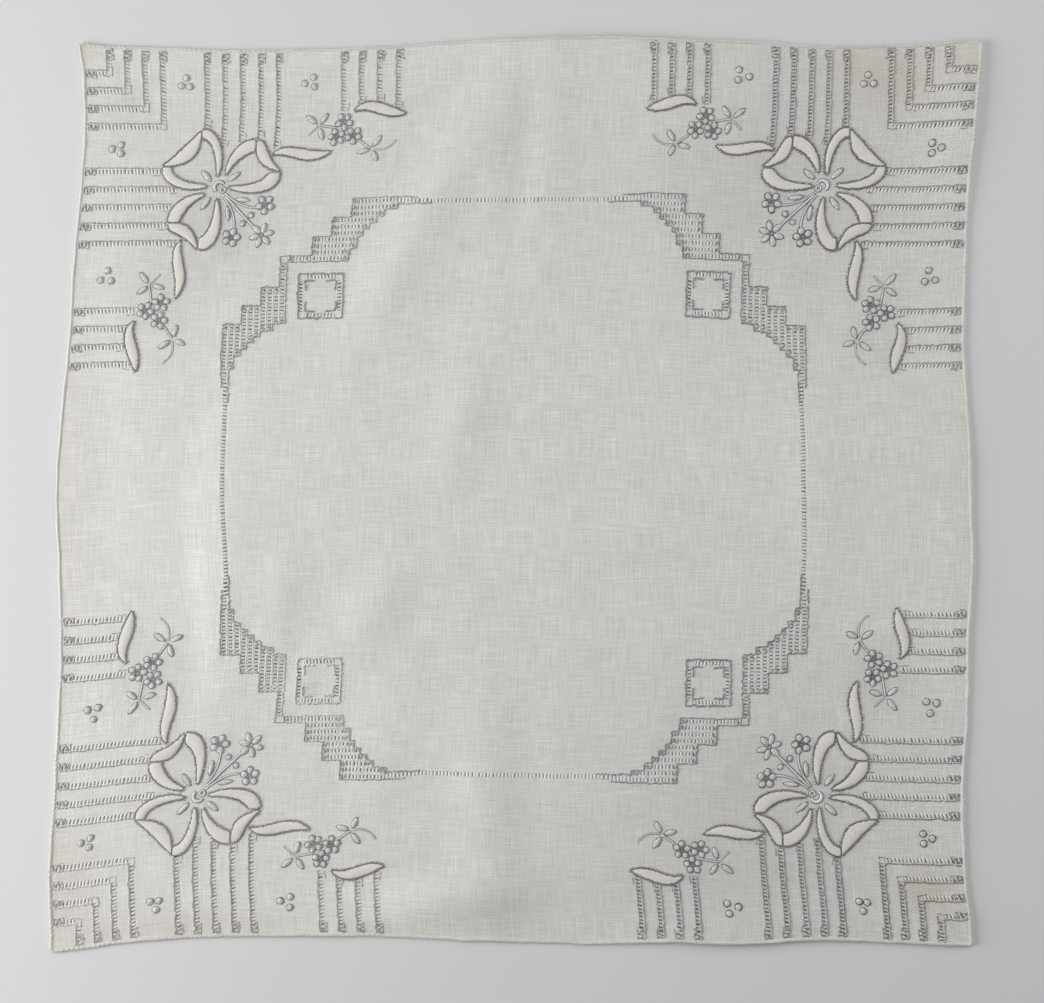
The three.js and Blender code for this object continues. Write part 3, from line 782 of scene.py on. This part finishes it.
# a puffed strip between two edges: each ring is half a round over the line from edge to edge, its height a
# power of the sine; it is sewn down by a run of short stitches round its outline, with fine ticks standing
# out from them
def makeSewnPieces(cfg):
    made, starts, ends, tickEnds = [], [], [], []
    steps, sides = cfg["steps"], cfg["sides"]
    f = np.linspace(0, 1, steps)
    turn = turns(sides)
    share = (1 + np.cos(turn))[:, None] / 2
    for number, corner in enumerate(("nw", "ne", "se", "sw")):
        for name, rows in cfg["rows"].items():
            for twin in ("_a", "_b") if name != "crown_tip" else ("",):
                pair = acrossDiagonal(rows) if twin == "_b" else np.array(rows)
                edges = allCorners(pair, False)[2 * number:2 * number + 2]
                first, second = (bend(edge, steps) for edge in edges)
                ahead, across = first[-1] - first[0], (second - first).mean(0)
                if ahead[0] * across[1] > ahead[1] * across[0]:      # so that the second stands to the right
                    first, second = second, first
                wide = np.linalg.norm(second - first, axis=1)
                swell = 1 + cfg["uneven"] * np.sin(cfg["waves"] * f + rng.uniform(0, 6))
                puff = cfg["puff"] * np.sqrt(np.minimum(1, wide / cfg["puffWide"])) * swell
                flat = first[:, None] * (1 - share) + second[:, None] * share
                up = cfg["base"] + puff[:, None] * np.clip(np.sin(turn), 0, 1) ** cfg["puffPower"]
                uv = np.stack(np.broadcast_arrays(runLength(first)[:, None], wide[:, None] * share[:, 0]), -1)
                node = f"{corner}_{name}{twin}"
                points = np.concatenate([flat, up[..., None]], -1)
                faces = tubeFaces(1, steps, sides)
                piece = putPiece(node + "_cloth", points, faces, creamCloth, uv, "cream_linen")
                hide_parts(node)
                made.append(piece)
                loop = np.concatenate([first, second[::-1], first[:1]])
                run = runLength(loop)
                at = np.linspace(0, run[-1], int(round(run[-1] / cfg["pitch"])) + 1)
                dots = np.stack([np.interp(at, run, loop[:, k]) for k in (0, 1)], -1)
                ahead = np.diff(dots, axis=0)
                outward = np.stack([-ahead[:, 1], ahead[:, 0]], -1)
                outward /= np.linalg.norm(ahead, axis=1, keepdims=True)
                starts.append(dots[:-1])
                ends.append(dots[1:])
                tickEnds.append((dots[:-1] + outward * cfg["tickOut"], dots[:-1] - outward * cfg["tickIn"]))
    start, end = np.concatenate(starts), np.concatenate(ends)
    outer, inner = (np.concatenate(p) for p in zip(*tickEnds))
    gap = cfg["gap"] * (end - start)
    line = stitches(start + gap, end - gap, cfg["base"] + cfg["lineUp"], cfg["lineRise"])
    line[:, :, :2] += rng.normal(0, cfg["lineStray"], (len(line), 1, 2))
    outer = outer + rng.normal(0, cfg["tickStray"], start.shape)
    tick = stitches(inner, outer, cfg["base"] + cfg["tickUp"], cfg["tickRise"])
    thick = cfg["line"] * rng.uniform(*cfg["lineUneven"], line.shape[:2])
    made.append(putPiece("petal_outline_stitch", *threads(line, thick), darkThread))
    made.append(putPiece("petal_pin_stitch", *threads(tick, cfg["tick"]), softThread))
    print("sewn-on pieces,", len(made) - 2, "with", len(line), "outline stitches")
    return made


onGround += makeSewnPieces(sewnPieces)

whiteWork = {      # raised ovals: places in corner distances, and half widths
    "dots": ((35.5, 10.6), (33.8, 13.4), (36.9, 13.5), (76.9, 12.4), (80.2, 10.3), (80.5, 13.7)),
    "dotHalf": (1.12, 1.08), "middleHalf": 0.28,
    "roses": (      # place, petals, their distance, half length and half width, turn in degrees
        (91.1, 26.1, 5, 2.00, 1.05, 0.98, 85), (88.5, 31.4, 5, 2.00, 1.05, 0.98, 40),
        (94.5, 31.0, 5, 2.00, 1.05, 0.98, 20), (65.7, 54.6, 5, 2.15, 1.20, 1.10, 20)),
    "star": (65.2, 65.1, 6, 2.55, 1.85, 0.98, 45),
    "buds": ((61.0, 58.2, 0.95),),
    "leaves": (      # two ends of the axis, half width
        ((81.4, 26.6), (77.6, 23.7), 0.88), ((82.7, 26.5), (85.2, 23.1), 0.88),
        ((82.6, 28.4), (83.7, 32.3), 0.90), ((101.3, 35.0), (104.0, 31.4), 0.92),
        ((100.2, 36.2), (96.0, 37.3), 0.88), ((101.3, 36.7), (103.0, 40.3), 0.88),
        ((54.9, 52.2), (60.2, 53.0), 0.78), ((51.9, 46.2), (56.0, 43.1), 0.90)),
    "stamen": ((46.2, 45.9), (42.5, 42.2), 0.90),
    "build": {      # how far its ends are drawn to points, height, weight of its outline
        "dot": (0.0, 1.1, 1.30), "rose": (0.0, 1.0, 1.40), "middle": (0.0, 0.5, 1.00),
        "bud": (0.0, 0.9, 1.30), "leaf": (0.35, 1.1, 1.05), "star": (0.25, 1.0, 1.00),
        "stamen": (0.1, 1.2, 1.05)},
    "high": 0.50, "base": 0.72, "rings": 5, "sides": 16, "stray": 0.10,
    "outline": 0.22, "outlineUp": 0.04, "outlineUneven": (0.55, 1.5), "satinShift": 3.0,
}


# a raised oval: half length along its axis, half width across, drawn to points by a power of the sine, its
# height falling from the middle as the root of one less the square of the radius
def ovals(start, end, wide, point, high):
    rings, sides = whiteWork["rings"], whiteWork["sides"]
    mid, axis = (start + end) / 2, (end - start) / 2
    long = np.linalg.norm(axis, axis=1, keepdims=True)
    ahead = axis / long
    left = np.stack([-ahead[:, 1], ahead[:, 0]], -1)
    r = np.cos(np.linspace(0, 0.5 * np.pi, rings + 1)[:-1])[None, :, None]
    turn = turns(sides)
    along = r * np.cos(turn) * long[:, :, None]
    drawnIn = np.sign(np.sin(turn)) * np.abs(np.sin(turn)) ** (1 + point[:, None, None])
    across = r * drawnIn * wide[:, None, None]
    flat = mid[:, None, None] + ahead[:, None, None] * along[..., None]
    flat = flat + left[:, None, None] * across[..., None]
    h = whiteWork["base"] + high[:, None, None] * np.sqrt(1 - r**2) + 0 * along
    points = np.concatenate([flat, h[..., None]], -1)
    n = len(points)
    ends = np.arange(n)[:, None] * rings * sides
    uv = np.stack([along + whiteWork["satinShift"] * np.arange(n)[:, None, None], across], -1)
    top, under = ends + (rings - 1) * sides + np.arange(sides), ends + np.arange(sides)[::-1]
    return points, [gridFaces(rings, sides, True, n)[:, ::-1], top, under], uv, flat[:, 0]


# petals round a flower's middle as the two ends of each petal's axis
def petalEnds(x, y, count, away, long, turn):
    ray = ringPoints(np.radians(turn) + turns(count))
    return np.array([x, y]) + ray * (away - long), np.array([x, y]) + ray * (away + long)


# every dot, petal, bud and leaf as an oval along its axis, at all corners, shifted a little at random, with
# an uneven grey thread round its foot
def makeWhiteWork(cfg):
    build, rows = cfg["build"], []
    for x, y in cfg["dots"]:
        long, wide = cfg["dotHalf"]
        rows.append(((x - long, y), (x + long, y), wide, *build["dot"]))
    for x, y, count, away, long, wide, turn in cfg["roses"]:
        for a, b in zip(*petalEnds(x, y, count, away, long, turn)):
            rows.append((a, b, wide, *build["rose"]))
        r = cfg["middleHalf"]
        rows.append(((x - r, y), (x + r, y), r, *build["middle"]))
    for x, y, r in cfg["buds"]:
        rows.append(((x - r, y), (x + r, y), r, *build["bud"]))
    for a, b, wide in cfg["leaves"]:
        rows.append((a, b, wide, *build["leaf"]))
    x, y, count, away, long, wide, turn = cfg["star"]
    single = [(a, b, wide, *build["star"]) for a, b in zip(*petalEnds(x, y, count, away, long, turn))]
    single.append((*cfg["stamen"], *build["stamen"]))
    parts = []
    for group, twin in ((rows, True), (single, False)):
        ends = allCorners(np.array([(a, b) for a, b, *rest in group], float), twin)
        copies = len(ends) // len(group)
        wide, point, high, bold = (np.tile([row[k] for row in group], copies) for k in (2, 3, 4, 5))
        ends = ends + rng.normal(0, cfg["stray"], (len(ends), 1, 2))
        ends = ends + rng.normal(0, 0.5 * cfg["stray"], ends.shape)
        parts.append((ends, wide, point, high * cfg["high"], bold))
    ends, wide, point, high, bold = (np.concatenate(p) for p in zip(*parts))
    points, faces, uv, rims = ovals(ends[:, 0], ends[:, 1], wide, point, high)
    satin = putPiece("white_satin_work", points, faces, satinThread, uv)
    rim = atHeight(np.concatenate([rims, rims[:, :1]], 1), cfg["base"] + cfg["outlineUp"])
    uneven = bold[:, None] * rng.uniform(*cfg["outlineUneven"], rims.shape[:2])
    thick = cfg["outline"] * np.concatenate([uneven, uneven[:, :1]], 1)
    outline = putPiece("white_work_outline", *threads(rim, thick), darkThread)
    print("white work,", len(ends), "raised ovals")
    return [satin, outline]


onGround += makeWhiteWork(whiteWork)

stemWork = {
    "stems": (
        ((51.4, 50.6), (55.5, 54.2), (59.5, 55.6), (62.8, 55.4)),
        ((88.4, 28.2), (86.6, 27.9), (84.4, 27.5), (82.1, 27.2)),
        ((96.6, 32.8), (97.8, 33.8), (99.4, 34.9), (100.8, 35.7))),
    "mainStem": (((51.4, 51.4), (55.0, 55.0), (59.0, 59.0), (63.4, 63.4)),),
    "tendrils": (
        ((82.0, 27.3), (80.8, 28.6), (79.8, 29.6), (78.5, 30.9)),
        ((101.4, 36.0), (104.6, 36.7), (107.4, 36.1), (109.2, 33.1))),
    "scales": {"stems": 1.0, "mainStem": 1.25, "tendrils": 0.7},
    "core": 0.26, "coreSides": 6, "base": 0.80, "steps": 14,
    "sideLine": 0.15, "sideShare": 0.4, "sideOut": 0.38, "sideDown": 0.05,      # share that goes by the scale
    "crescent": (49.0, 48.2, 1.75, 0.60, 3.6, 0.65),      # place, radius, half thickness, turn, swell
    "eye": (50.3, 49.2, 0.85, 0.28, 6.2, 0.0),
    "arcSteps": 28, "arcSides": 8, "arcUp": 0.08, "arcFlat": 0.9,
    "arcGap": 0.12, "arcDown": 0.04, "arcBold": 1.2,
    "middle": 0.62, "middleHalf": 0.24, "middleUp": 0.02, "middleSteps": 12,
}


# stems are a white cord between two grey lines on the curve; tendrils the same but finer; the crescent is
# an open arc that swells in its middle, the eye a small ring, and each flower's middle a grey ring
def makeStems(cfg):
    white, grey = [], []
    for name, scale in cfg["scales"].items():
        flat = np.stack([bend(p, cfg["steps"]) for p in allCorners(np.array(cfg[name]), name != "mainStem")])
        ahead = np.gradient(flat, axis=1)
        side = np.stack([ahead[..., 1], -ahead[..., 0]], -1) / np.linalg.norm(ahead, axis=-1, keepdims=True)
        white.append(threads(atHeight(flat, cfg["base"]), cfg["core"] * scale, None, cfg["coreSides"]))
        for way in (-1, 1):
            line = atHeight(flat + way * side * cfg["sideOut"] * scale, cfg["base"] - cfg["sideDown"])
            grey.append(threads(line, cfg["sideLine"] * (1 - cfg["sideShare"] + cfg["sideShare"] * scale)))
    for x, y, r, thick, span, swelling in (cfg["crescent"], cfg["eye"]):
        share = np.linspace(0, 1, cfg["arcSteps"])
        ray = ringPoints(np.pi / 4 + np.pi + span * (share - 0.5))
        swell = thick * (1 - swelling + swelling * np.sqrt(np.maximum(0, np.sin(np.pi * share))))
        arc = allCorners((np.array([x, y]) + r * ray)[None], False)
        arc = atHeight(arc, cfg["base"] + cfg["arcUp"])
        white.append(threads(arc, swell, cfg["arcFlat"] * swell, cfg["arcSides"]))
        for way in (-1, 1):
            edge = np.array([x, y]) + (r + way * (swell + cfg["arcGap"]))[:, None] * ray
            line = atHeight(allCorners(edge[None], False), cfg["base"] - cfg["arcDown"])
            grey.append(threads(line, cfg["arcBold"] * cfg["sideLine"]))
    ring = cfg["middle"] * ringPoints(np.append(turns(cfg["middleSteps"]), 2 * np.pi))
    for spots, twin in (([row[:2] for row in whiteWork["roses"]], True), ([whiteWork["star"][:2]], False)):
        rings = allCorners(np.array(spots)[:, None] + ring, twin)
        grey.append(threads(atHeight(rings, cfg["base"] + cfg["middleUp"]), cfg["middleHalf"]))
    cords = joinUp(*white)
    made = [
        putPiece("white_stem_cord", *cords, satinThread, np.zeros((len(cords[0]), 2))),
        putPiece("grey_stem_lines", *joinUp(*grey), darkThread)]
    print("stems and middles done")
    return made


onGround += makeStems(stemWork)

studio = {
    "tableSide": 4.0, "camBack": 0.48546, "camTilt": 2.0, "aim": (0.00062, -0.00389), "lens": 50.0,
    # place, size and power of each light
    "key": ((-0.76, -0.09, 0.30), 0.51, 6.45), "fill": ((0.34, 0.67, 0.90), 1.2, 6.6),
    "bounce": ((0.50, 0.0, 0.12), 0.2, 0.24), "sky": (0.128, (0.99, 0.99, 1.0)),
    "tableRough": 0.85, "filmWide": 36.0, "nearest": 0.01,
}


# a pale table top, a soft light low on the left, a higher one behind, a faint card on the right, even sky
def makeStudio(cfg):
    s = cfg["tableSide"] / 2
    mesh = bpy.data.meshes.new("table_top")
    mesh.from_pydata([(-s, -s, 0), (s, -s, 0), (s, s, 0), (-s, s, 0)], [], [(0, 1, 2, 3)])
    paint, tree, shader = newMaterial("pale table")
    shader.inputs["Base Color"].default_value = (*finishes["table"], 1)
    shader.inputs["Roughness"].default_value = cfg["tableRough"]
    mesh.materials.append(paint)
    table = bpy.data.objects.new("table_top", mesh)
    scene.collection.objects.link(table)
    for name in ("key", "fill", "bounce"):
        place, size, power = cfg[name]
        lamp = bpy.data.lights.new(name, "AREA")
        lamp.size, lamp.energy = size, power
        made = bpy.data.objects.new(name, lamp)
        made.location = place
        made.rotation_euler = (-made.location).to_track_quat("-Z", "Y").to_euler()
        scene.collection.objects.link(made)
    world = bpy.data.worlds.new("studio sky")
    world.use_nodes = True
    sky = world.node_tree.nodes["Background"].inputs
    sky["Strength"].default_value, sky["Color"].default_value = cfg["sky"][0], (*cfg["sky"][1], 1)
    scene.world = world
    scene.view_settings.view_transform = "Standard"
    cam = bpy.data.cameras.new("photo camera")
    cam.lens, cam.sensor_width, cam.clip_start = cfg["lens"], cfg["filmWide"], cfg["nearest"]
    made = bpy.data.objects.new("photo camera", cam)
    tilt = np.radians(cfg["camTilt"])
    x, y = cfg["aim"]
    made.location = (x, y - cfg["camBack"] * np.sin(tilt), cfg["camBack"] * np.cos(tilt))
    made.rotation_euler = (tilt, 0, 0)
    scene.collection.objects.link(made)
    scene.camera = made
    print("studio set")


makeStudio(studio)
bpy.context.view_layer.update()
